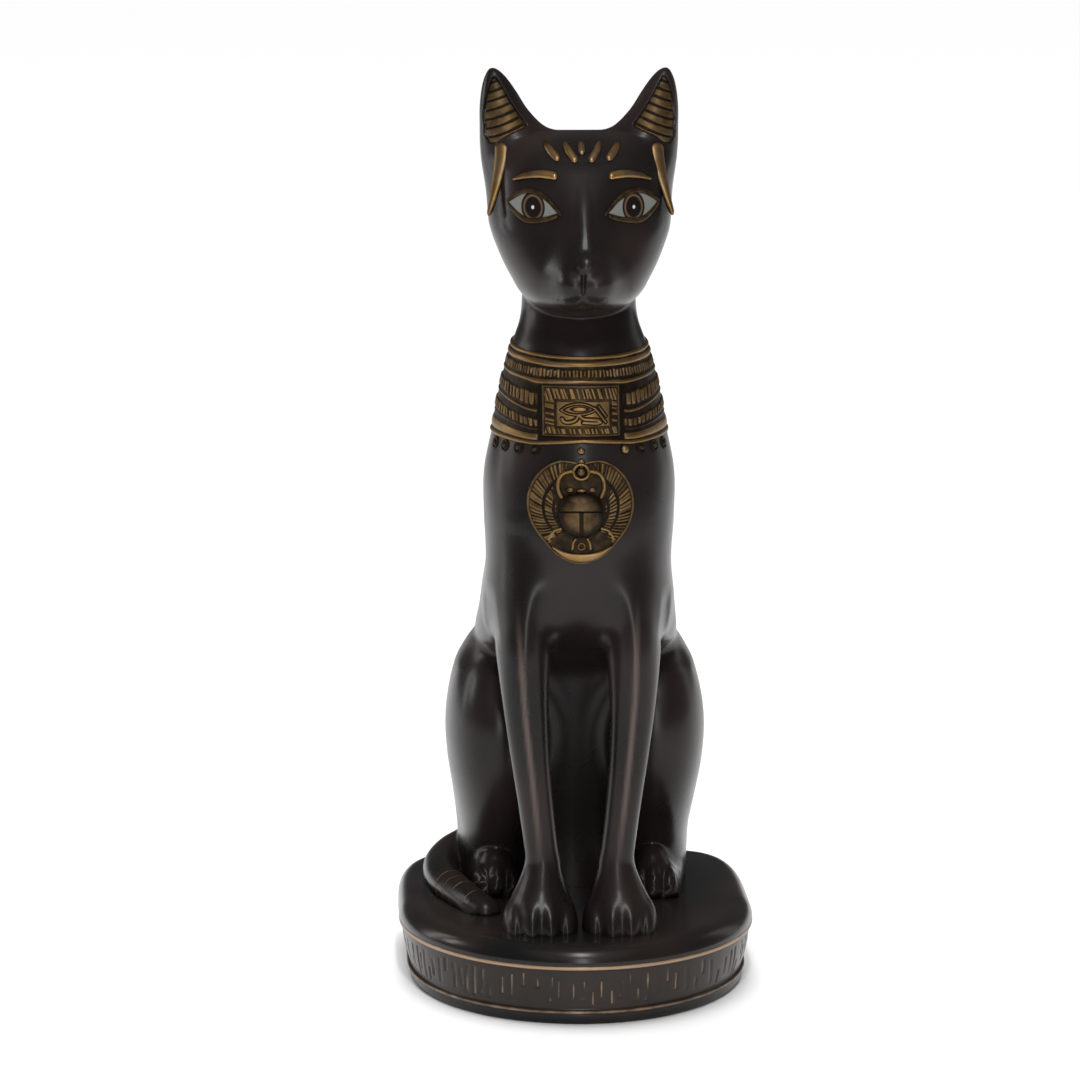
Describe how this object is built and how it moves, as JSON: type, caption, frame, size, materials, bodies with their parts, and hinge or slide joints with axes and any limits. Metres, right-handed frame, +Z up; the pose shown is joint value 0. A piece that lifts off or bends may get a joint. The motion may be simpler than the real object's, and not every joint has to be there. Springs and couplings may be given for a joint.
{
  "type": "bastet cat figure",
  "caption": "Seated Egyptian temple cat with a broad collar and winged scarab pendant, cast in one piece with its oval plinth as a standing ornament.",
  "frame": {"origin": "under the middle of the plinth, on the plane it stands on", "axes": "+Z up, the cat faces -Y, its left side is +X"},
  "size_m": [0.1176, 0.141, 0.3],
  "materials": {
    "black_resin": "polished black cast resin with a faint warm sheen on raised places",
    "antique_gold": "old gold paint rubbed back, dark brown in the recesses",
    "bright_gold": "brighter satin gold paint on the brows and forehead marks",
    "eye_paint": "varnished grey and brown eye paint"
  },
  "bodies": {
    "root": {"bastet_cat_figure": "black_resin"}
  },
  "joints": []
}
